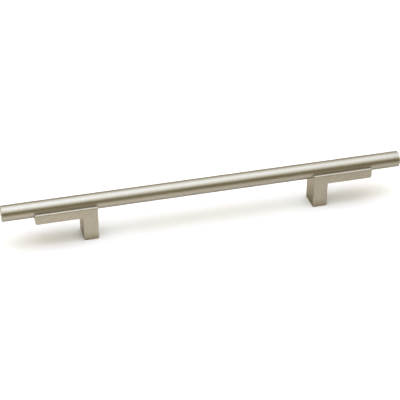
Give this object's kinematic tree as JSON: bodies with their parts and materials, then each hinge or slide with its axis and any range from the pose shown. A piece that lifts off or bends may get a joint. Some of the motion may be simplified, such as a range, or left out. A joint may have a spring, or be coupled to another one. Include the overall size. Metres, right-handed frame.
{
  "type": "t bar cabinet pull",
  "caption": "Cabinet pull with a round bar resting in the saddles of two L-shaped posts, in satin nickel, fixed by screws from behind the door or drawer front.",
  "frame": {"origin": "on the cabinet face, midway between the two fixing holes", "axes": "+X along the bar to the right, +Y across the bar away from the viewer, +Z away from the cabinet face"},
  "size_m": [0.331, 0.018, 0.0368],
  "materials": {
    "bar_finish": "satin nickel plated, finely brushed along the bar",
    "post_finish": "satin nickel plated die casting, fine matt grain",
    "screw_steel": "bright zinc plated"
  },
  "bodies": {
    "root": {"bar_tube": "bar_finish", "end_cap_left": "bar_finish", "end_cap_right": "bar_finish", "post_left": "post_finish", "post_right": "post_finish", "bar_screw_left": "screw_steel", "bar_screw_right": "screw_steel", "bar_nut_left": "screw_steel", "bar_nut_right": "screw_steel"}
  },
  "joints": []
}
